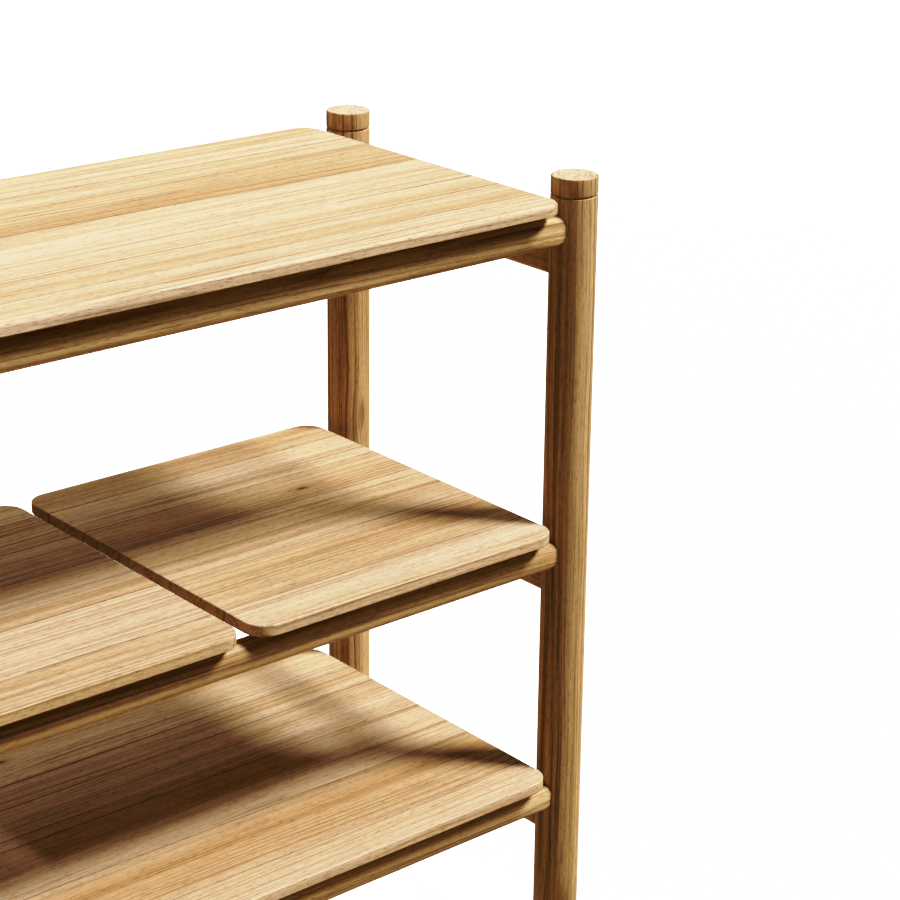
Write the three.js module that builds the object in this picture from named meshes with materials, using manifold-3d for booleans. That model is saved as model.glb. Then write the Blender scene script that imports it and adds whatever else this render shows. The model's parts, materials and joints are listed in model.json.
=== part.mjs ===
// A three-tier open rack for an entryway, in solid wood: four round posts, oval rails tenoned into
// them, and thin boards made of staves on cross battens. The middle level is three loose boards.
// Millimetres, +Z up, +X along the length, -Y the front. The origin is on the floor, at the centre.

import * as THREE from "three";
import { mergeVertices } from "three/addons/utils/BufferGeometryUtils.js";
import Module from "manifold-3d";

const wasm = await Module();
wasm.setup();

// Driving dimensions

const HEIGHT = 700;
const POST_SPACING_X = 1024;
const POST_SPACING_Y = 304;
const POST_RADIUS = 20;
const POST_TOP_ROUNDING = 1.2;
const POST_FOOT_CHAMFER = 2;
const GROOVE_BELOW_TOP = 15;
const GROOVE_HEIGHT = 2.2;
const GROOVE_DEPTH = 1.4;

// Heights of the long rails' centre lines, one for each level
const LEVELS = [
  { name: "top", railHeight: 655.5 },
  { name: "middle", railHeight: 366 },
  { name: "low", railHeight: 133 },
];

const RAIL_WIDTH = 20;
const RAIL_TALL = 27;
const RAIL_CORNER = 9.5;
const END_RAIL_DROP = 32.7;

const TENON_RADIUS = 7;
const TENON_DEPTH = 20;
const MORTISE_DEPTH = 21;
const JOINT_GAP = 0.3;

const BOARD_THICKNESS = 10;
const BOARD_CORNER = 20;
const BOARD_ARRIS = 0.8;
const STAVE_GAP = 0.6;
const LONG_STAVE_WIDTHS = [40, 75, 75, 62, 36, 62];
const LOOSE_STAVE_WIDTHS = [46, 75, 75, 55, 55, 44];
const END_CLEARANCE = 28.5;
const LOOSE_BOARD_COUNT = 3;
const LOOSE_BOARD_GAP = 11;

const BATTEN_WIDTH = 32;
const BATTEN_SEAT = 6.2;
const BATTEN_DEPTH = 14;
const BATTEN_REACH = 160;
const BATTEN_RAIL_CLEARANCE = 1.5;
const GLUE_LINE = 0.1;

// Battens stand this share of the board's length to either side of its middle
const LONG_BATTEN_SPREAD = 0.38;
const LOOSE_BATTEN_SPREAD = 0.3;

const POST_SEGMENTS = 40;
const TENON_SEGMENTS = 16;
const ARC_SEGMENTS = 6;
const CUT_OVERRUN = 1;
const MERGE_DISTANCE = 1e-4;
const QUARTER_TURN = Math.PI / 2;

// Sizes that follow from them

const BOARD_LENGTH = POST_SPACING_X - 2 * END_CLEARANCE;
const LOOSE_BOARD_LENGTH =
  (BOARD_LENGTH - (LOOSE_BOARD_COUNT - 1) * LOOSE_BOARD_GAP) / LOOSE_BOARD_COUNT;
const BOARD_BOTTOM_ABOVE_RAIL = RAIL_TALL / 2 + BATTEN_SEAT + 2 * GLUE_LINE;

// Materials

function wood(color, roughness) {
  return new THREE.MeshStandardMaterial({ color, roughness, metalness: 0 });
}

const postWood = () => wood("#b88a54", 0.55);
const railWood = () => wood("#a97b48", 0.55);
const boardWood = () => wood("#d6b181", 0.5);
const battenWood = () => wood("#b08350", 0.65);

// Joining and cutting

function toSolid(geometry) {
  const bare = geometry.clone();
  bare.deleteAttribute("normal");
  bare.deleteAttribute("uv");
  const merged = mergeVertices(bare, MERGE_DISTANCE);
  return new wasm.Manifold(
    new wasm.Mesh({
      numProp: 3,
      vertProperties: new Float32Array(merged.attributes.position.array),
      triVerts: new Uint32Array(merged.index.array),
    }),
  );
}

function toGeometry(solid) {
  const mesh = solid.getMesh();
  const geometry = new THREE.BufferGeometry();
  geometry.setAttribute("position", new THREE.BufferAttribute(mesh.vertProperties, 3));
  geometry.setIndex(new THREE.BufferAttribute(mesh.triVerts, 1));
  geometry.computeVertexNormals();
  return geometry;
}

function rodAlongX(radius, fromX, toX, segments) {
  const rod = new THREE.CylinderGeometry(radius, radius, toX - fromX, segments);
  rod.rotateZ(QUARTER_TURN);
  rod.translate((fromX + toX) / 2, 0, 0);
  return rod;
}

function rodAlongZ(radius, height, segments) {
  const rod = new THREE.CylinderGeometry(radius, radius, height, segments);
  rod.rotateX(QUARTER_TURN);
  return rod;
}

// Posts

function postProfile() {
  const grooveTop = HEIGHT - GROOVE_BELOW_TOP;
  const grooveBottom = grooveTop - GROOVE_HEIGHT;
  const points = [
    [0, 0],
    [POST_RADIUS - POST_FOOT_CHAMFER, 0],
    [POST_RADIUS, POST_FOOT_CHAMFER],
    [POST_RADIUS, grooveBottom],
    [POST_RADIUS - GROOVE_DEPTH, grooveBottom],
    [POST_RADIUS - GROOVE_DEPTH, grooveTop],
    [POST_RADIUS, grooveTop],
    [POST_RADIUS, HEIGHT - POST_TOP_ROUNDING],
    [POST_RADIUS - POST_TOP_ROUNDING, HEIGHT],
    [0, HEIGHT],
  ];
  return points.map(([radius, height]) => new THREE.Vector2(radius, height));
}

function mortise(height, turn) {
  const bottom = POST_RADIUS - MORTISE_DEPTH;
  const mouth = POST_RADIUS + CUT_OVERRUN;
  const hole = rodAlongX(TENON_RADIUS + JOINT_GAP, bottom, mouth, TENON_SEGMENTS);
  hole.rotateZ(turn);
  hole.translate(0, 0, height);
  return toSolid(hole);
}

// sideX and sideY are -1 or 1, and say which corner the post stands at.
function postGeometry(sideX, sideY) {
  const turned = new THREE.LatheGeometry(postProfile(), POST_SEGMENTS);
  turned.rotateX(QUARTER_TURN);
  let solid = toSolid(turned);
  const towardsRail = sideX > 0 ? 2 * QUARTER_TURN : 0;
  const towardsEndRail = -sideY * QUARTER_TURN;
  for (const level of LEVELS) {
    solid = solid.subtract(mortise(level.railHeight, towardsRail));
    solid = solid.subtract(mortise(level.railHeight - END_RAIL_DROP, towardsEndRail));
  }
  return toGeometry(solid);
}

// Rails

function roundedRectangle(width, height, corner) {
  const shape = new THREE.Shape();
  const x = width / 2 - corner;
  const y = height / 2 - corner;
  shape.absarc(x, y, corner, 0, QUARTER_TURN, false);
  shape.absarc(-x, y, corner, QUARTER_TURN, 2 * QUARTER_TURN, false);
  shape.absarc(-x, -y, corner, 2 * QUARTER_TURN, 3 * QUARTER_TURN, false);
  shape.absarc(x, -y, corner, 3 * QUARTER_TURN, 4 * QUARTER_TURN, false);
  return shape;
}

// A rail along X between two posts: oval body, ends scribed to the posts, round tenons.
function railGeometry(spacing) {
  const bar = new THREE.ExtrudeGeometry(roundedRectangle(RAIL_TALL, RAIL_WIDTH, RAIL_CORNER), {
    depth: spacing,
    bevelEnabled: false,
    curveSegments: ARC_SEGMENTS,
  });
  bar.translate(0, 0, -spacing / 2);
  bar.rotateY(QUARTER_TURN);
  let solid = toSolid(bar);
  for (const side of [-1, 1]) {
    const post = rodAlongZ(POST_RADIUS + JOINT_GAP, 2 * RAIL_TALL, POST_SEGMENTS);
    post.translate((side * spacing) / 2, 0, 0);
    solid = solid.subtract(toSolid(post));
  }
  const tenonEnd = spacing / 2 - POST_RADIUS + TENON_DEPTH;
  const tenonRoot = spacing / 2 - 2 * POST_RADIUS;
  solid = solid.add(toSolid(rodAlongX(TENON_RADIUS, tenonRoot, tenonEnd, TENON_SEGMENTS)));
  solid = solid.add(toSolid(rodAlongX(TENON_RADIUS, -tenonEnd, -tenonRoot, TENON_SEGMENTS)));
  return toGeometry(solid);
}

// Boards

// Plan outline of one stave. The front and the rear stave of a board have the board's round corners.
function staveOutline(length, width, isFront, isRear) {
  const shape = new THREE.Shape();
  const x = length / 2 - BOARD_ARRIS;
  const y = width / 2 - BOARD_ARRIS;
  const corner = BOARD_CORNER - BOARD_ARRIS;
  if (isRear) {
    shape.absarc(x - corner, y - corner, corner, 0, QUARTER_TURN, false);
    shape.absarc(corner - x, y - corner, corner, QUARTER_TURN, 2 * QUARTER_TURN, false);
  } else {
    shape.moveTo(x, y);
    shape.lineTo(-x, y);
  }
  if (isFront) {
    shape.absarc(corner - x, corner - y, corner, 2 * QUARTER_TURN, 3 * QUARTER_TURN, false);
    shape.absarc(x - corner, corner - y, corner, 3 * QUARTER_TURN, 4 * QUARTER_TURN, false);
  } else {
    shape.lineTo(-x, -y);
    shape.lineTo(x, -y);
  }
  shape.closePath();
  return shape;
}

function staveGeometry(length, width, isFront, isRear) {
  const stave = new THREE.ExtrudeGeometry(staveOutline(length, width, isFront, isRear), {
    depth: BOARD_THICKNESS - 2 * BOARD_ARRIS,
    bevelEnabled: true,
    bevelThickness: BOARD_ARRIS,
    bevelSize: BOARD_ARRIS,
    bevelSegments: 1,
    curveSegments: ARC_SEGMENTS,
  });
  stave.translate(0, 0, BOARD_ARRIS);
  return stave;
}

// A batten runs front to back. Its ends stand on the long rails, and its deeper middle fits between
// them, which keeps the board in its place.
function battenGeometry() {
  const innerReach = POST_SPACING_Y / 2 - RAIL_WIDTH / 2 - BATTEN_RAIL_CLEARANCE;
  const side = new THREE.Shape();
  side.moveTo(-BATTEN_REACH, 0);
  side.lineTo(-BATTEN_REACH, -BATTEN_SEAT);
  side.lineTo(-innerReach, -BATTEN_SEAT);
  side.lineTo(-innerReach, -BATTEN_DEPTH);
  side.lineTo(innerReach, -BATTEN_DEPTH);
  side.lineTo(innerReach, -BATTEN_SEAT);
  side.lineTo(BATTEN_REACH, -BATTEN_SEAT);
  side.lineTo(BATTEN_REACH, 0);
  side.closePath();
  const batten = new THREE.ExtrudeGeometry(side, { depth: BATTEN_WIDTH, bevelEnabled: false });
  batten.translate(0, 0, -BATTEN_WIDTH / 2);
  batten.rotateX(QUARTER_TURN);
  batten.rotateZ(QUARTER_TURN);
  return batten;
}

function place(parent, name, geometry, material, x, y, z) {
  const mesh = new THREE.Mesh(geometry, material);
  mesh.name = name;
  mesh.position.set(x, y, z);
  parent.add(mesh);
  return mesh;
}

// A board of staves on battens. Its group's origin is at the middle of its underside.
function board(name, length, widths, battenPlaces) {
  const group = new THREE.Group();
  const depth = widths.reduce((sum, width) => sum + width, 0);
  let front = -depth / 2;
  widths.forEach((width, index) => {
    const isFront = index === 0;
    const isRear = index === widths.length - 1;
    const low = front + (isFront ? 0 : STAVE_GAP / 2);
    const high = front + width - (isRear ? 0 : STAVE_GAP / 2);
    const geometry = staveGeometry(length, high - low, isFront, isRear);
    place(group, `${name}_stave_${index + 1}`, geometry, boardWood(), 0, (low + high) / 2, 0);
    front += width;
  });
  battenPlaces.forEach((x, index) => {
    place(group, `${name}_batten_${index + 1}`, battenGeometry(), battenWood(), x, 0, -GLUE_LINE);
  });
  return group;
}

// The whole rack

const rack = new THREE.Group();
const SIDES_X = [["left", -1], ["right", 1]];
const SIDES_Y = [["front", -1], ["rear", 1]];

for (const [nameY, sideY] of SIDES_Y) {
  for (const [nameX, sideX] of SIDES_X) {
    const x = (sideX * POST_SPACING_X) / 2;
    const y = (sideY * POST_SPACING_Y) / 2;
    place(rack, `post_${nameY}_${nameX}`, postGeometry(sideX, sideY), postWood(), x, y, 0);
  }
}

for (const level of LEVELS) {
  for (const [nameY, sideY] of SIDES_Y) {
    const y = (sideY * POST_SPACING_Y) / 2;
    const geometry = railGeometry(POST_SPACING_X);
    place(rack, `rail_${level.name}_${nameY}`, geometry, railWood(), 0, y, level.railHeight);
  }
  for (const [nameX, sideX] of SIDES_X) {
    const x = (sideX * POST_SPACING_X) / 2;
    const z = level.railHeight - END_RAIL_DROP;
    const name = `end_rail_${level.name}_${nameX}`;
    const rail = place(rack, name, railGeometry(POST_SPACING_Y), railWood(), x, 0, z);
    rail.rotation.z = QUARTER_TURN;
  }
}

function addBoard(group, levelIndex, x) {
  group.position.set(x, 0, LEVELS[levelIndex].railHeight + BOARD_BOTTOM_ABOVE_RAIL);
  rack.add(group);
}

const longSpread = LONG_BATTEN_SPREAD * BOARD_LENGTH;
const looseSpread = LOOSE_BATTEN_SPREAD * LOOSE_BOARD_LENGTH;
const longBattens = [-longSpread, 0, longSpread];
const looseBattens = [-looseSpread, looseSpread];
addBoard(board("top_board", BOARD_LENGTH, LONG_STAVE_WIDTHS, longBattens), 0, 0);
addBoard(board("low_board", BOARD_LENGTH, LONG_STAVE_WIDTHS, longBattens), 2, 0);
["left", "centre", "right"].forEach((side, index) => {
  const x = (index - 1) * (LOOSE_BOARD_LENGTH + LOOSE_BOARD_GAP);
  const name = `middle_board_${side}`;
  addBoard(board(name, LOOSE_BOARD_LENGTH, LOOSE_STAVE_WIDTHS, looseBattens), 1, x);
});

export default rack;
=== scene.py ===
"""An open three-tier entryway rack in oiled solid wood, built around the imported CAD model.

Every piece takes its place and size from the frame. The fine meshes have the rounded arrises, turned
grooves and scribed ends of the real pieces, and one solid wood grain runs through each piece.
"""

import json
import math
import random

import bpy
import numpy as np
from mathutils import Matrix, Vector

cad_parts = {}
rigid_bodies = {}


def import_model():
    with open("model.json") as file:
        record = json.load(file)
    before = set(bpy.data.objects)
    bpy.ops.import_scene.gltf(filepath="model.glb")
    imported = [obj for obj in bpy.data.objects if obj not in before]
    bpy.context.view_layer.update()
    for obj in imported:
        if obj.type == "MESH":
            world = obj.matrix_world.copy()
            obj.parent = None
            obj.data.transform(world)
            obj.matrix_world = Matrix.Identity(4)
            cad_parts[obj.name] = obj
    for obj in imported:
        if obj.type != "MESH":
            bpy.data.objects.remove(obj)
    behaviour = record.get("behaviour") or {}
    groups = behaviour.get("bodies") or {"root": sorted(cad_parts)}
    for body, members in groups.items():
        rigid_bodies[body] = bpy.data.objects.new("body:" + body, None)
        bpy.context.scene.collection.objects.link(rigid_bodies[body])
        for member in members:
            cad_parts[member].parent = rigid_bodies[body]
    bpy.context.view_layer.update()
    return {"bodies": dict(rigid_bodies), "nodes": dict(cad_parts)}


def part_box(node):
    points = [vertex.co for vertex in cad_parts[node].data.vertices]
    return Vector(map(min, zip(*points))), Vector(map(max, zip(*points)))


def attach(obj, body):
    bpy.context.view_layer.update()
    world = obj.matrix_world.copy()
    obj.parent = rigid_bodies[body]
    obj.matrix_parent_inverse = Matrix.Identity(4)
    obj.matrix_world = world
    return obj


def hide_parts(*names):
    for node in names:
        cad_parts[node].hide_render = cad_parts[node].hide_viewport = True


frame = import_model()

# Sizes in metres that the frame's boxes don't give

POST_TOP_ROUNDING = 0.0012
POST_FOOT_CHAMFER = 0.002
GROOVE_BELOW_TOP = 0.015
GROOVE_HEIGHT = 0.0022
GROOVE_DEPTH = 0.0014
GROOVE_LIP = 0.0004
SCRIBE_GAP = 0.0002
RAIL_CORNER = 0.0095
BOARD_CORNER = 0.020
STAVE_CORNER = 0.0009
STAVE_ARRIS = 0.0011
JOINT_CLOSING = 0.00028
BATTEN_ARRIS = 0.0015
BATTEN_RAIL_CLEARANCE = 0.0015
# Width of the painted shade along the joints between staves
JOINT_SHADE_PAINT_WIDTH = 0.0011
SMALLEST_CORNER = 0.0001
SMALLEST_ROUNDING_STEP = 0.00007

# Steps in which curved shapes are cut up

CORNER_STEPS = 10
RAIL_CORNER_STEPS = 12
RAIL_STATIONS = 25
POST_SEGMENTS = 96
POST_SIDE_STEPS = 12
POST_TOP_STEPS = 6
GROOVE_LIP_STEPS = 4
BATTEN_ARRIS_STEPS = 2

# The parts of the nodes' names

LEVELS = ("top", "middle", "low")
SIDES_X = ("left", "right")
SIDES_Y = ("front", "rear")
STAVE_COUNT = 6

# The rounding of each board's upper edge

EDGE_ROUNDINGS = {
    "top_board": 0.0036,
    "low_board": 0.0012,
    "middle_board_left": 0.0012,
    "middle_board_centre": 0.0012,
    "middle_board_right": 0.0012,
}

# How dark each stave is, from 0, pale sapwood, to 1, brown heartwood, front to rear

STAVE_TONES = {
    "top_board": (0.15, 0.40, 0.22, 0.62, 0.28, 0.32),
    "low_board": (0.10, 0.70, 0.40, 0.30, 0.55, 0.40),
    "middle_board_left": (0.45, 0.30, 0.35, 0.60, 0.40, 0.65),
    "middle_board_centre": (0.40, 0.25, 0.50, 0.45, 0.65, 0.55),
    "middle_board_right": (0.15, 0.65, 0.50, 0.60, 0.35, 0.60),
}

# Small knots: the piece, and the place from its centre along and across its grain

KNOTS = {
    "middle_board_right_stave_4": (0.048, -0.006),
    "middle_board_left_stave_2": (-0.070, 0.012),
    "top_board_stave_5": (-0.260, 0.004),
    "low_board_stave_3": (-0.330, -0.015),
    "low_board_stave_6": (0.120, 0.010),
    "post_front_left": (-0.120, 0.000),
    "post_rear_right": (0.060, 0.000),
}


# Meshes


def make_piece(name, vertices, faces, flat_faces=()):
    """A smooth mesh object, apart from the faces whose numbers are in flat_faces."""
    mesh = bpy.data.meshes.new(name)
    mesh.from_pydata([tuple(v) for v in vertices], [], faces)
    flat = set(flat_faces)
    mesh.polygons.foreach_set("use_smooth", [i not in flat for i in range(len(faces))])
    mesh.update()
    piece = bpy.data.objects.new(name + "_wood", mesh)
    bpy.context.scene.collection.objects.link(piece)
    return piece


def skin_rings(rings):
    """Vertices and faces of a closed skin over rings of equal length, and its end faces' numbers."""
    count = len(rings[0])
    vertices = [point for ring in rings for point in ring]
    faces = []
    for level in range(len(rings) - 1):
        for i in range(count):
            j = (i + 1) % count
            low = level * count
            high = low + count
            faces.append((low + i, low + j, high + j, high + i))
    faces.append(tuple(reversed(range(count))))
    faces.append(tuple(range(len(vertices) - count, len(vertices))))
    return vertices, faces, (len(faces) - 2, len(faces) - 1)


def arc(centre, radius, start, end, steps):
    """Points of an arc in a plane, angles in degrees."""
    angles = [math.radians(start + (end - start) * i / steps) for i in range(steps + 1)]
    return [(centre[0] + radius * math.cos(a), centre[1] + radius * math.sin(a)) for a in angles]


def post_profile(radius, height):
    """Radius and height up the side of a post: foot chamfer, shadow groove and eased top."""
    groove_top = height - GROOVE_BELOW_TOP
    groove_low = groove_top - GROOVE_HEIGHT
    floor = radius - GROOVE_DEPTH
    lip = GROOVE_LIP
    profile = [(radius - POST_FOOT_CHAMFER, 0), (radius, POST_FOOT_CHAMFER)]
    profile += [(radius, groove_low * i / POST_SIDE_STEPS) for i in range(1, POST_SIDE_STEPS)]
    profile += arc((radius - lip, groove_low - lip), lip, 0, 90, GROOVE_LIP_STEPS)
    profile += [(floor, groove_low), (floor, groove_top)]
    profile += arc((radius - lip, groove_top + lip), lip, -90, 0, GROOVE_LIP_STEPS)
    rounding = POST_TOP_ROUNDING
    profile += arc((radius - rounding, height - rounding), rounding, 0, 90, POST_TOP_STEPS)
    return profile


def build_post(node):
    """A turned post that stands on the floor."""
    low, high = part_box(node)
    centre = (low + high) / 2
    radius = (high.x - low.x) / 2
    turn = [2 * math.pi * i / POST_SEGMENTS for i in range(POST_SEGMENTS)]
    rings = []
    for r, z in post_profile(radius, high.z):
        rings.append([(centre.x + r * math.cos(a), centre.y + r * math.sin(a), z) for a in turn])
    vertices, faces, caps = skin_rings(rings)
    return make_piece(node, vertices, faces, caps)


def rounded_rectangle(low, high, corners, steps):
    """Points round a rectangle. corners gives a radius each: +x+y, -x+y, -x-y, +x-y."""
    points = []
    places = ((high[0], high[1]), (low[0], high[1]), (low[0], low[1]), (high[0], low[1]))
    sides = ((1, 1), (-1, 1), (-1, -1), (1, -1))
    for index, (place, side, corner) in enumerate(zip(places, sides, corners)):
        centre = (place[0] - side[0] * corner, place[1] - side[1] * corner)
        points += arc(centre, corner, 90 * index, 90 * index + 90, steps)
    return points


def build_rail(node, along):
    """An oval rail whose ends are scribed to the round posts. along is 0 for X or 1 for Y."""
    low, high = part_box(node)
    centre = (low + high) / 2
    across = 1 - along
    half_across = (high[across] - low[across]) / 2
    half_up = (high.z - low.z) / 2
    section = rounded_rectangle(
        (-half_across, -half_up), (half_across, half_up), [RAIL_CORNER] * 4, RAIL_CORNER_STEPS
    )
    post_low, post_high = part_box("post_front_left")
    post_radius = (post_high.x - post_low.x) / 2 + SCRIBE_GAP
    half = (high[along] - low[along]) / 2
    rings = []
    for i in range(RAIL_STATIONS):
        share = 2 * i / (RAIL_STATIONS - 1) - 1
        ring = []
        for offset, up in section:
            end = half - math.sqrt(post_radius**2 - offset**2)
            point = [0, 0, centre.z + up]
            point[along] = centre[along] + share * end
            point[across] = centre[across] + offset
            ring.append(tuple(point))
        rings.append(ring if along == 0 else ring[::-1])
    vertices, faces, caps = skin_rings(rings)
    return make_piece(node, vertices, faces, caps)


def rounding_inset(radius, depth):
    """How far a rounded edge stands back at this depth below the face."""
    if depth >= radius:
        return 0
    return radius - math.sqrt(radius**2 - (radius - depth) ** 2)


def rounding_depths(radius):
    """The depths at which a rounded edge has its rings of vertices."""
    steps = math.ceil(math.sqrt(radius / SMALLEST_ROUNDING_STEP))
    return [radius * (1 - math.cos(math.pi / 2 * i / steps)) for i in range(steps + 1)]


def build_stave(node, is_front, is_rear, edge_rounding):
    """A stave. A joint with a neighbour is a fine groove, and the board's own edge has edge_rounding."""
    low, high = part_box(node)
    low.y -= 0 if is_front else JOINT_CLOSING
    high.y += 0 if is_rear else JOINT_CLOSING
    front_corner = BOARD_CORNER if is_front else STAVE_CORNER
    rear_corner = BOARD_CORNER if is_rear else STAVE_CORNER
    front_rounding = edge_rounding if is_front else STAVE_ARRIS
    rear_rounding = edge_rounding if is_rear else STAVE_ARRIS
    below = [(depth, low.z + depth, (STAVE_ARRIS,) * 3) for depth in rounding_depths(STAVE_ARRIS)]
    upper_depths = set(rounding_depths(STAVE_ARRIS) + rounding_depths(edge_rounding))
    above = [
        (depth, high.z - depth, (edge_rounding, front_rounding, rear_rounding))
        for depth in sorted(upper_depths, reverse=True)
    ]
    rings = []
    for depth, height, roundings in below + above:
        end, front, rear = [rounding_inset(radius, depth) for radius in roundings]
        near = (low.x + end, low.y + front)
        far = (high.x - end, high.y - rear)
        at_rear = max(rear_corner - end, SMALLEST_CORNER)
        at_front = max(front_corner - end, SMALLEST_CORNER)
        outline = rounded_rectangle(near, far, (at_rear, at_rear, at_front, at_front), CORNER_STEPS)
        rings.append([(x, y, height) for x, y in outline])
    vertices, faces, caps = skin_rings(rings)
    return make_piece(node, vertices, faces, caps)


def build_batten(node):
    """A batten, notched at its ends to stand on the rails."""
    low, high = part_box(node)
    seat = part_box("rail_low_front")[1].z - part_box("low_board_batten_1")[1].z
    inner = -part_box("rail_top_front")[1].y - BATTEN_RAIL_CLEARANCE
    outline = [
        (low.y, high.z), (low.y, high.z + seat), (-inner, high.z + seat), (-inner, low.z),
        (inner, low.z), (inner, high.z + seat), (high.y, high.z + seat), (high.y, high.z),
    ]
    rings = [[(x, y, z) for y, z in outline] for x in (low.x, high.x)]
    vertices, faces, _ = skin_rings(rings)
    piece = make_piece(node, vertices, faces, range(len(faces)))
    bevel = piece.modifiers.new("arris", "BEVEL")
    bevel.width = BATTEN_ARRIS
    bevel.segments = BATTEN_ARRIS_STEPS
    bevel.limit_method = "ANGLE"
    apply_modifiers(piece)
    return piece


def apply_modifiers(piece):
    """Keeps the shape that the modifiers give, without the modifiers."""
    bpy.context.view_layer.update()
    evaluated = piece.evaluated_get(bpy.context.evaluated_depsgraph_get())
    mesh = bpy.data.meshes.new_from_object(evaluated)
    piece.modifiers.clear()
    piece.data = mesh


# Grain: each vertex knows its place in the log, along the grain and from the pith

# The posts' top faces get a tone below 0: a painted highlight that makes them paler for the light on them
POST_TOP_HIGHLIGHT_DEPTH = 0.0001
POST_TOP_HIGHLIGHT_TONE = -1.0
LOG_LENGTH = 40
PITH_ANGLES = (0.15 * math.pi, 0.55 * math.pi)
PITH_DISTANCE_SHARES = (0.7, 1.3)
NO_KNOT = (9.0, 9.0, 9.0)
GRAIN_AXES = {"x": (0, 1, 2), "y": (1, 0, 2), "z": (2, 0, 1)}


def add_grain(piece, node, along, tone, pith_distance):
    """Gives the piece its own place in a log, its knot and its tone."""
    chance = random.Random(node)
    mesh = piece.data
    places = np.array([v.co for v in mesh.vertices], float)
    local = places - (places.min(0) + places.max(0)) / 2
    local = local[:, GRAIN_AXES[along]]
    angle = chance.uniform(*PITH_ANGLES)
    distance = chance.uniform(*PITH_DISTANCE_SHARES) * pith_distance
    start = chance.uniform(0, LOG_LENGTH)
    pith = np.array([start, distance * math.sin(angle), distance * math.cos(angle)])
    if chance.random() < 0.5:
        local[:, 1] *= -1
    knot = np.array([*KNOTS[node], 0.0] if node in KNOTS else NO_KNOT)
    store(mesh, "grain", "FLOAT_VECTOR", "vector", local + pith)
    store(mesh, "knot", "FLOAT_VECTOR", "vector", local - knot)
    tones = np.full(len(places), tone)
    # Painted highlight: a post's top face is painted paler for the light that falls on it
    if node.startswith("post"):
        tones[places[:, 2] > places[:, 2].max() - POST_TOP_HIGHLIGHT_DEPTH] = POST_TOP_HIGHLIGHT_TONE
    store(mesh, "tone", "FLOAT", "value", tones)


def paint_shade_in_joints(piece, joins_front, joins_rear):
    """Marks the edges that meet another stave, where painted shade darkens the joint."""
    across = np.array([v.co.y for v in piece.data.vertices])
    front = np.clip(1 - (across - across.min()) / JOINT_SHADE_PAINT_WIDTH, 0, 1) * joins_front
    rear = np.clip(1 - (across.max() - across) / JOINT_SHADE_PAINT_WIDTH, 0, 1) * joins_rear
    store(piece.data, "joint_shade_paint", "FLOAT", "value", np.maximum(front, rear))


def store(mesh, name, kind, field, values):
    """Keeps one value for each vertex under this name."""
    attribute = mesh.attributes.new(name, kind, "POINT")
    attribute.data.foreach_set(field, np.asarray(values, np.float32).ravel())


# Materials

# Linear colours: pale sapwood, warm, brown heartwood, and what latewood and pores multiply them by

WOODS = {
    "post_wood": ((0.63, 0.435, 0.240), (0.53, 0.343, 0.170), (0.39, 0.228, 0.100), (0.40, 0.31, 0.20)),
    # rail_wood is the posts' wood painted paler: painted light for the light that the shaded rails lack
    "rail_wood": ((0.72, 0.525, 0.300), (0.61, 0.420, 0.220), (0.45, 0.275, 0.125), (0.40, 0.31, 0.20)),
    "board_wood": ((0.73, 0.560, 0.385), (0.62, 0.438, 0.258), (0.46, 0.280, 0.125), (0.42, 0.32, 0.20)),
    "batten_wood": ((0.42, 0.260, 0.125), (0.34, 0.200, 0.090), (0.25, 0.135, 0.057), (0.45, 0.36, 0.28)),
}
CONTRASTS = {"post_wood": 1.3, "rail_wood": 1.15, "board_wood": 1.08, "batten_wood": 0.8}
PORE_STRENGTHS = {"post_wood": 0.52, "rail_wood": 0.52, "board_wood": 0.66, "batten_wood": 0.5}

# Paler colour painted on the posts' top faces, a painted highlight
POST_TOP_HIGHLIGHT = (0.70, 0.51, 0.35)
# Painted shade in the joints between staves
JOINT_SHADE_PAINT_COLOR = (0.22, 0.15, 0.10)
KNOT_HEART = (0.045, 0.020, 0.008)

# Noises: cycles per metre along the grain and twice across it. Edges are where a mark starts and is full

DRIFT_SCALES = (2.2, 9.0, 9.0)
RING_WOBBLE_SCALES = (0.6, 70.0, 70.0)
RING_STRENGTH_SCALES = (0.5, 55.0, 55.0)
RING_STRENGTH_EDGES = (0.36, 0.66)
STREAK_SCALES = (0.7, 34.0, 34.0)
STREAK_EDGES = (0.34, 0.70)
BLOTCH_SCALES = (3.0, 16.0, 16.0)
BAND_SCALES = (1.1, 150.0, 150.0)
BAND_EDGES = (0.46, 0.66)
FINE_LINE_SCALES = (2.4, 480.0, 480.0)
FINE_LINE_EDGES = (0.56, 0.68)
FIBRE_SCALES = (22.0, 760.0, 760.0)
PORE_SCALES = (135.0, 1450.0, 1450.0)
PORE_EDGES = (0.56, 0.68)

# Growth rings: how far they wander in metres, and the part of each ring that is latewood

DRIFT = 0.016
RINGS_PER_METRE = 210.0
RING_WOBBLE = 3.0
LATEWOOD_START = (0.48, 0.92)
LATEWOOD_END = (1.0, 0.95)

# What makes the wood darker all over, and the sums at which it turns warm or brown, or takes the painted
# highlight of the posts' top faces

TONE_SHARE = 0.72
STREAK_SHARE = 0.42
BLOTCH_SHARE = 0.35
WARM_EDGES = (0.0, 0.55)
BROWN_EDGES = (0.5, 1.0)
POST_TOP_HIGHLIGHT_EDGES = (-0.1, -0.4)

# How strongly each mark darkens the wood. Fibres multiply it by a grey that starts at FIBRE_GREY

LATEWOOD_SHARE = 0.62
BAND_SHARE = 0.30
FINE_LINE_SHARE = 0.55
FIBRE_SHARE = 0.9
FIBRE_GREY = 0.45
FIBRE_SPREAD = 1.10

# A knot's shape, and the metres from its middle at which its marks begin and end

KNOT_SHAPE = (0.40, 1.0, 0.15)
KNOT_PUSH = 0.012
KNOT_PUSH_FADE = -190.0
KNOT_HEART_RADII = (0.0034, 0.0012)
KNOT_HEART_SHARE = 0.85
KNOT_HALO_RADII = (0.011, 0.002)
KNOT_HALO_SHARE = 0.45

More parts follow.
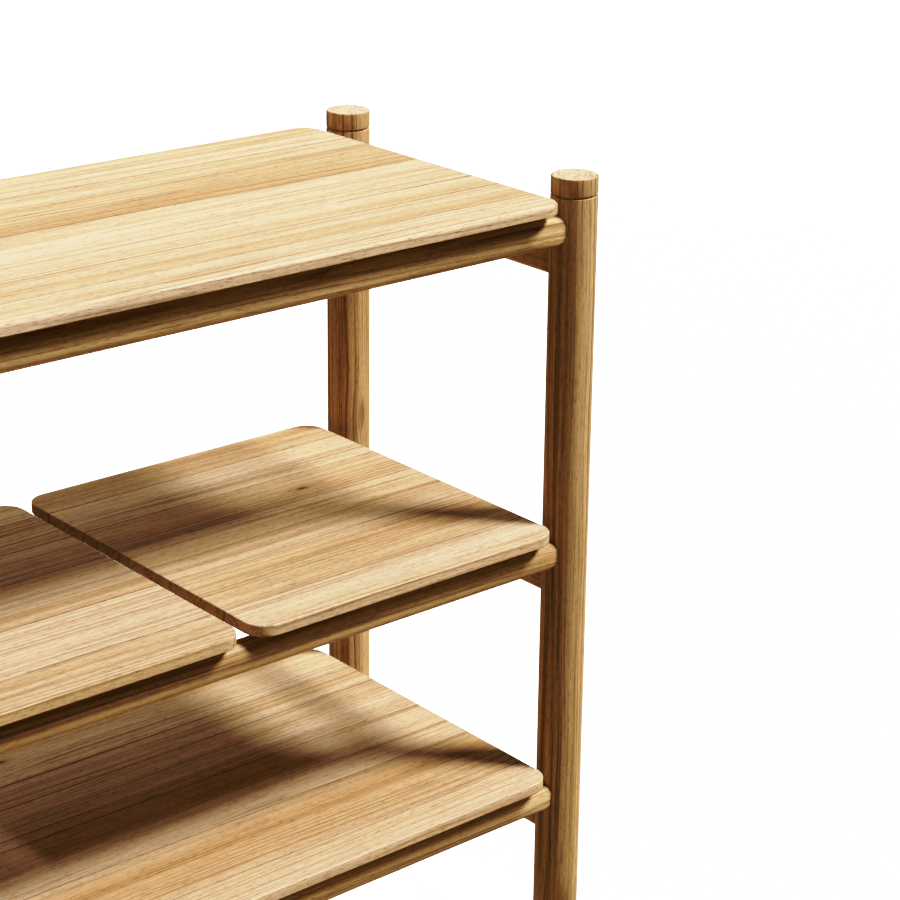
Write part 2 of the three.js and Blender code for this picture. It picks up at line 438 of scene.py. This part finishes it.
# The surface: how rough it is, and how far fibres stand up and pores and latewood lie deeper

ROUGHNESS = 0.40
FIBRE_ROUGHNESS = 0.16
PORE_ROUGHNESS = 0.14
SPECULAR = 0.25
BUMP_STRENGTH = 0.35
BUMP_DISTANCE = 0.0002
FIBRE_HEIGHT = 0.5
PORE_DEPTH = 0.9
LATEWOOD_DEPTH = 0.5


class Nodes:
    """Short ways to add shader nodes to one material."""

    def __init__(self, name):
        self.material = bpy.data.materials.new(name)
        self.material.use_nodes = True
        self.tree = self.material.node_tree
        self.shader = self.tree.nodes["Principled BSDF"]

    def put(self, socket, value):
        """Links the socket to another one, or sets it."""
        if isinstance(value, bpy.types.NodeSocket):
            self.tree.links.new(value, socket)
        else:
            socket.default_value = value

    def attribute(self, name, output):
        node = self.tree.nodes.new("ShaderNodeAttribute")
        node.attribute_name = name
        return node.outputs[output]

    def math(self, operation, a, b=0.0):
        node = self.tree.nodes.new("ShaderNodeMath")
        node.operation = operation
        for socket, value in zip(node.inputs, (a, b)):
            self.put(socket, value)
        return node.outputs[0]

    def vector(self, operation, a, b=(0.0, 0.0, 0.0)):
        node = self.tree.nodes.new("ShaderNodeVectorMath")
        node.operation = operation
        self.put(node.inputs[0], a)
        self.put(node.inputs[1], b)
        return node.outputs["Value" if operation == "LENGTH" else "Vector"]

    def noise(self, place, scales, detail=2.0, roughness=0.5, color=False):
        node = self.tree.nodes.new("ShaderNodeTexNoise")
        self.put(node.inputs["Vector"], self.vector("MULTIPLY", place, scales))
        node.inputs["Scale"].default_value = 1.0
        node.inputs["Detail"].default_value = detail
        node.inputs["Roughness"].default_value = roughness
        return node.outputs["Color" if color else "Fac"]

    def grey(self, value):
        """A colour whose three channels are all this value."""
        node = self.tree.nodes.new("ShaderNodeCombineColor")
        for socket in node.inputs:
            self.put(socket, value)
        return node.outputs[0]

    def ramp(self, value, low, high, smooth=True):
        """Goes from 0 at low to 1 at high."""
        node = self.tree.nodes.new("ShaderNodeMapRange")
        node.interpolation_type = "SMOOTHSTEP" if smooth else "LINEAR"
        self.put(node.inputs["Value"], value)
        node.inputs["From Min"].default_value = low
        node.inputs["From Max"].default_value = high
        return node.outputs["Result"]

    def mix(self, factor, a, b, blend="MIX"):
        node = self.tree.nodes.new("ShaderNodeMix")
        node.data_type = "RGBA"
        node.blend_type = blend
        self.put(node.inputs["Factor"], factor)
        self.put(node.inputs["A"], a if isinstance(a, bpy.types.NodeSocket) else (*a, 1.0))
        self.put(node.inputs["B"], b if isinstance(b, bpy.types.NodeSocket) else (*b, 1.0))
        return node.outputs["Result"]


def bend_round_knot(n, grain, knot, knot_distance):
    """A knot pushes the grain to either side of itself."""
    fade = n.math("EXPONENT", n.math("MULTIPLY", knot_distance, KNOT_PUSH_FADE))
    push = n.math("MULTIPLY", fade, KNOT_PUSH)
    away = n.vector("NORMALIZE", n.vector("MULTIPLY", knot, (0.0, 1.0, 0.0)))
    scaled = n.tree.nodes.new("ShaderNodeVectorMath")
    scaled.operation = "SCALE"
    n.put(scaled.inputs[0], away)
    n.put(scaled.inputs["Scale"], push)
    return n.vector("SUBTRACT", grain, scaled.outputs["Vector"])


def wander(n, grain):
    """The rings wander slowly along the log."""
    drift = n.noise(grain, DRIFT_SCALES, 2.0, color=True)
    drift = n.vector("SUBTRACT", drift, (0.5, 0.5, 0.5))
    return n.vector("ADD", grain, n.vector("MULTIPLY", drift, (0.0, DRIFT, DRIFT)))


def latewood_rings(n, place):
    """The dark edge of each growth ring, stronger in some places than in others."""
    radius = n.vector("LENGTH", n.vector("MULTIPLY", place, (0.0, 1.0, 1.0)))
    wobble = n.math("MULTIPLY", n.noise(place, RING_WOBBLE_SCALES, 2.0), RING_WOBBLE)
    ring = n.math("FRACT", n.math("ADD", n.math("MULTIPLY", radius, RINGS_PER_METRE), wobble))
    latewood = n.math("MULTIPLY", n.ramp(ring, *LATEWOOD_START), n.ramp(ring, *LATEWOOD_END))
    strength = n.ramp(n.noise(place, RING_STRENGTH_SCALES, 1.0), *RING_STRENGTH_EDGES)
    return n.math("MULTIPLY", latewood, strength)


def ground_color(n, place, pale, warm, brown):
    """Pale, warm or brown, by the piece's tone and its broad streaks. A tone below 0 takes the painted
    highlight that makes the posts' top faces paler.
    """
    streak = n.ramp(n.noise(place, STREAK_SCALES, 3.0, 0.6), *STREAK_EDGES)
    blotch = n.math("SUBTRACT", n.noise(place, BLOTCH_SCALES, 2.0), 0.5)
    tone = n.math("MULTIPLY", n.attribute("tone", "Fac"), TONE_SHARE)
    depth = n.math("ADD", tone, n.math("MULTIPLY", streak, STREAK_SHARE))
    depth = n.math("ADD", depth, n.math("MULTIPLY", blotch, BLOTCH_SHARE))
    color = n.mix(n.ramp(depth, *WARM_EDGES, smooth=False), pale, warm)
    # Painted highlight: the posts' top faces turn paler
    color = n.mix(n.ramp(depth, *POST_TOP_HIGHLIGHT_EDGES), color, POST_TOP_HIGHLIGHT)
    return n.mix(n.ramp(depth, *BROWN_EDGES, smooth=False), color, brown)


def add_knot_color(n, color, knot_distance, dark):
    """A dark heart inside a darker halo."""
    heart = n.math("MULTIPLY", n.ramp(knot_distance, *KNOT_HEART_RADII), KNOT_HEART_SHARE)
    halo = n.math("MULTIPLY", n.ramp(knot_distance, *KNOT_HALO_RADII), KNOT_HALO_SHARE)
    return n.mix(heart, n.mix(halo, color, dark, "MULTIPLY"), KNOT_HEART)


def wood(name):
    """Oiled wood, with rings, streaks, fibres and pores that run on through the whole piece."""
    pale, warm, brown, dark = WOODS[name]
    contrast = CONTRASTS[name]
    n = Nodes(name)
    knot = n.attribute("knot", "Vector")
    knot_distance = n.vector("LENGTH", n.vector("MULTIPLY", knot, KNOT_SHAPE))
    place = wander(n, bend_round_knot(n, n.attribute("grain", "Vector"), knot, knot_distance))

    late = n.math("MULTIPLY", latewood_rings(n, place), LATEWOOD_SHARE * contrast)
    band = n.ramp(n.noise(place, BAND_SCALES, 2.0), *BAND_EDGES)
    fine_line = n.ramp(n.noise(place, FINE_LINE_SCALES, 2.0, 0.6), *FINE_LINE_EDGES)
    fibre = n.noise(place, FIBRE_SCALES, 3.0, 0.75)
    pore = n.ramp(n.noise(place, PORE_SCALES, 1.0), *PORE_EDGES)

    color = ground_color(n, place, pale, warm, brown)
    color = n.mix(late, color, dark, "MULTIPLY")
    color = n.mix(n.math("MULTIPLY", band, BAND_SHARE * contrast), color, dark, "MULTIPLY")
    color = n.mix(n.math("MULTIPLY", fine_line, FINE_LINE_SHARE * contrast), color, dark, "MULTIPLY")
    color = n.mix(n.math("MULTIPLY", pore, PORE_STRENGTHS[name]), color, dark, "MULTIPLY")
    fibre_grey = n.grey(n.math("ADD", n.math("MULTIPLY", fibre, FIBRE_SPREAD), FIBRE_GREY))
    color = n.mix(FIBRE_SHARE, color, fibre_grey, "MULTIPLY")
    # Painted shade along the joints between staves
    color = n.mix(n.attribute("joint_shade_paint", "Fac"), color, JOINT_SHADE_PAINT_COLOR, "MULTIPLY")
    color = add_knot_color(n, color, knot_distance, dark)
    n.put(n.shader.inputs["Base Color"], color)

    fibre_rough = n.math("MULTIPLY", fibre, FIBRE_ROUGHNESS)
    rough = n.math("ADD", fibre_rough, n.math("MULTIPLY", pore, PORE_ROUGHNESS))
    n.put(n.shader.inputs["Roughness"], n.math("ADD", rough, ROUGHNESS))
    n.shader.inputs["Specular IOR Level"].default_value = SPECULAR
    fibre_height = n.math("MULTIPLY", fibre, FIBRE_HEIGHT)
    height = n.math("SUBTRACT", fibre_height, n.math("MULTIPLY", pore, PORE_DEPTH))
    height = n.math("SUBTRACT", height, n.math("MULTIPLY", late, LATEWOOD_DEPTH))
    bump = n.tree.nodes.new("ShaderNodeBump")
    bump.inputs["Strength"].default_value = BUMP_STRENGTH
    bump.inputs["Distance"].default_value = BUMP_DISTANCE
    n.put(bump.inputs["Height"], height)
    n.put(n.shader.inputs["Normal"], bump.outputs["Normal"])
    return n.material


# The pieces

PITH_DISTANCES = {"post_wood": 0.05, "rail_wood": 0.06, "board_wood": 0.09, "batten_wood": 0.06}
POST_TONES = (0.25, 0.5)
RAIL_TONES = (0.3, 0.6)
BATTEN_TONE = 0.4


def finish_piece(piece, node, body, slot, material, along, tone):
    """Gives a finished mesh its grain and material, and puts it in the CAD node's place."""
    add_grain(piece, node, along, tone, PITH_DISTANCES[slot])
    piece.data.materials.clear()
    piece.data.materials.append(material)
    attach(piece, body)
    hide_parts(node)


def chance_tone(node, tones):
    """A tone of this node's own, between the two."""
    return random.Random(node + "tone").uniform(*tones)


def build_frame():
    """Posts and rails."""
    post_wood = wood("post_wood")
    rail_wood = wood("rail_wood")
    for side_y in SIDES_Y:
        for side_x in SIDES_X:
            node = f"post_{side_y}_{side_x}"
            tone = chance_tone(node, POST_TONES)
            finish_piece(build_post(node), node, "frame", "post_wood", post_wood, "z", tone)
    for level in LEVELS:
        for side_y in SIDES_Y:
            node = f"rail_{level}_{side_y}"
            tone = chance_tone(node, RAIL_TONES)
            finish_piece(build_rail(node, 0), node, "frame", "rail_wood", rail_wood, "x", tone)
        for side_x in SIDES_X:
            node = f"end_rail_{level}_{side_x}"
            tone = chance_tone(node, RAIL_TONES)
            finish_piece(build_rail(node, 1), node, "frame", "rail_wood", rail_wood, "y", tone)


def build_boards():
    """The staves and battens of every board. A loose board's pieces ride on its own body."""
    board_wood = wood("board_wood")
    batten_wood = wood("batten_wood")
    for board, tones in STAVE_TONES.items():
        body = board if board in frame["bodies"] else "frame"
        for index, tone in enumerate(tones):
            node = f"{board}_stave_{index + 1}"
            is_front = index == 0
            is_rear = index == STAVE_COUNT - 1
            piece = build_stave(node, is_front, is_rear, EDGE_ROUNDINGS[board])
            # The joints with neighbouring staves get painted shade
            paint_shade_in_joints(piece, not is_front, not is_rear)
            finish_piece(piece, node, body, "board_wood", board_wood, "x", tone)
        number = 1
        while f"{board}_batten_{number}" in frame["nodes"]:
            node = f"{board}_batten_{number}"
            piece = build_batten(node)
            finish_piece(piece, node, body, "batten_wood", batten_wood, "y", BATTEN_TONE)
            number += 1


# The studio

KEY_DIRECTION = Vector((0.60, -0.56, 1.0))
KEY_STRENGTH = 3.75
KEY_ANGLE = math.radians(14)
KEY_COLOR = (1.0, 0.98, 0.97)
AMBIENT = 0.075
AMBIENT_COLOR = (1.0, 0.75, 0.40)
FLOOR_LIGHT_DEPTH = 0.30
FLOOR_LIGHT_SIZE = 3.0
FLOOR_LIGHT_POWER = 6.5
TOP_LIGHT_PLACE = (0.45, 0.85, 2.10)
TOP_LIGHT_SIZE = 1.6
TOP_LIGHT_POWER = 14.0
TOP_LIGHT_COLOR = (0.97, 0.95, 0.90)
STAGE_SIZE = 18
STAGE_ROUGHNESS = 0.6
DOME_SEGMENTS = 64
DOME_RINGS = 32
BACKDROP_LIGHT = 2.2
FLOOR_COLOR = (0.8, 0.8, 0.8)
FLOOR_GLOW = 1.1

# Points of the tone curve: the light in the scene, with TONE_WHITE as the brightest, and the light shown

TONE_WHITE = 2.0
COMBINED_CURVE = 3
TONE_CURVE = (
    (0.010, 0.008), (0.026, 0.022), (0.058, 0.057), (0.084, 0.104), (0.176, 0.270), (0.290, 0.456),
    (0.380, 0.600), (0.600, 0.820), (1.0, 0.960),
)

# The camera

CAMERA_PLACE = Vector((-0.846, -1.591, 1.199))
CAMERA_TURN = math.radians(40.41)
CAMERA_PITCH = math.radians(18.52)
CAMERA_ROLL = math.radians(0.65)
CAMERA_LENS = 98.56
CAMERA_SENSOR = 36
CAMERA_SHIFT_Y = -0.10
CAMERA_NEAREST = 0.05
CAMERA_FURTHEST = 100


def add_camera():
    """A camera to the front left of the rack and above it, that looks at its right-hand end."""
    data = bpy.data.cameras.new("camera")
    data.lens = CAMERA_LENS
    data.sensor_width = CAMERA_SENSOR
    data.shift_y = CAMERA_SHIFT_Y
    data.clip_start = CAMERA_NEAREST
    data.clip_end = CAMERA_FURTHEST
    camera = bpy.data.objects.new("camera", data)
    bpy.context.scene.collection.objects.link(camera)
    ahead = Vector((
        math.sin(CAMERA_TURN) * math.cos(CAMERA_PITCH),
        math.cos(CAMERA_TURN) * math.cos(CAMERA_PITCH),
        -math.sin(CAMERA_PITCH),
    ))
    level_right = Vector((math.cos(CAMERA_TURN), -math.sin(CAMERA_TURN), 0))
    level_up = level_right.cross(ahead)
    right = level_right * math.cos(CAMERA_ROLL) + level_up * math.sin(CAMERA_ROLL)
    up = level_up * math.cos(CAMERA_ROLL) - level_right * math.sin(CAMERA_ROLL)
    turn = Matrix((right, up, -ahead)).transposed()
    camera.matrix_world = Matrix.Translation(CAMERA_PLACE) @ turn.to_4x4()
    bpy.context.scene.camera = camera


def add_softbox(name, place, size, power, color, turn_x=0.0):
    """A square light that faces down, or up after half a turn, and that the camera doesn't see."""
    data = bpy.data.lights.new(name, "AREA")
    data.size = size
    data.energy = power
    data.color = color
    softbox = bpy.data.objects.new(name, data)
    softbox.location = place
    softbox.rotation_euler = (turn_x, 0, 0)
    softbox.visible_camera = False
    bpy.context.scene.collection.objects.link(softbox)


def add_lights():
    """A soft sun from the front right, a big softbox above, and warm light from below and all round."""
    sun = bpy.data.lights.new("key", "SUN")
    sun.energy = KEY_STRENGTH
    sun.angle = KEY_ANGLE
    sun.color = KEY_COLOR
    key = bpy.data.objects.new("key", sun)
    key.rotation_mode = "QUATERNION"
    key.rotation_quaternion = KEY_DIRECTION.to_track_quat("Z", "Y")
    bpy.context.scene.collection.objects.link(key)
    add_softbox("top_light", TOP_LIGHT_PLACE, TOP_LIGHT_SIZE, TOP_LIGHT_POWER, TOP_LIGHT_COLOR)
    under = (0, 0, -FLOOR_LIGHT_DEPTH)
    add_softbox("floor_light", under, FLOOR_LIGHT_SIZE, FLOOR_LIGHT_POWER, AMBIENT_COLOR, math.pi)
    world = bpy.data.worlds.new("studio")
    world.use_nodes = True
    background = world.node_tree.nodes["Background"]
    background.inputs["Color"].default_value = (*AMBIENT_COLOR, 1)
    background.inputs["Strength"].default_value = AMBIENT
    bpy.context.scene.world = world


def glowing(name, color, strength):
    """A plain surface that gives white light of its own."""
    material = bpy.data.materials.new(name)
    material.use_nodes = True
    shader = material.node_tree.nodes["Principled BSDF"]
    shader.inputs["Base Color"].default_value = (*color, 1)
    shader.inputs["Roughness"].default_value = STAGE_ROUGHNESS
    shader.inputs["Specular IOR Level"].default_value = 0.0
    shader.inputs["Emission Color"].default_value = (1, 1, 1, 1)
    shader.inputs["Emission Strength"].default_value = strength
    return material


def add_stage():
    """A pale floor that keeps a faint shadow, inside a plain white dome. Neither lights the rack."""
    far = STAGE_SIZE
    mesh = bpy.data.meshes.new("floor")
    corners = [(-far, -far, 0), (far, -far, 0), (far, far, 0), (-far, far, 0)]
    mesh.from_pydata(corners, [], [(0, 1, 2, 3)])
    floor = bpy.data.objects.new("floor", mesh)
    mesh.materials.append(glowing("pale_floor", FLOOR_COLOR, FLOOR_GLOW))
    bpy.ops.mesh.primitive_uv_sphere_add(radius=far, segments=DOME_SEGMENTS, ring_count=DOME_RINGS)
    dome = bpy.context.object
    dome.name = "dome"
    dome.data.materials.append(glowing("white_dome", (0, 0, 0), BACKDROP_LIGHT))
    bpy.context.scene.collection.objects.link(floor)
    for piece in (floor, dome):
        piece.visible_diffuse = False
        piece.visible_glossy = False
        piece.visible_shadow = False


def set_tones():
    """The contrast of a studio photograph: deep shadows, and highlights that roll off to white."""
    settings = bpy.context.scene.view_settings
    settings.view_transform = "Standard"
    settings.use_curve_mapping = True
    mapping = settings.curve_mapping
    mapping.white_level = (TONE_WHITE, TONE_WHITE, TONE_WHITE)
    curve = mapping.curves[COMBINED_CURVE]
    for x, y in TONE_CURVE:
        curve.points.new(x / TONE_WHITE, y)
    mapping.update()


add_camera()
add_lights()
add_stage()
set_tones()
build_frame()
build_boards()
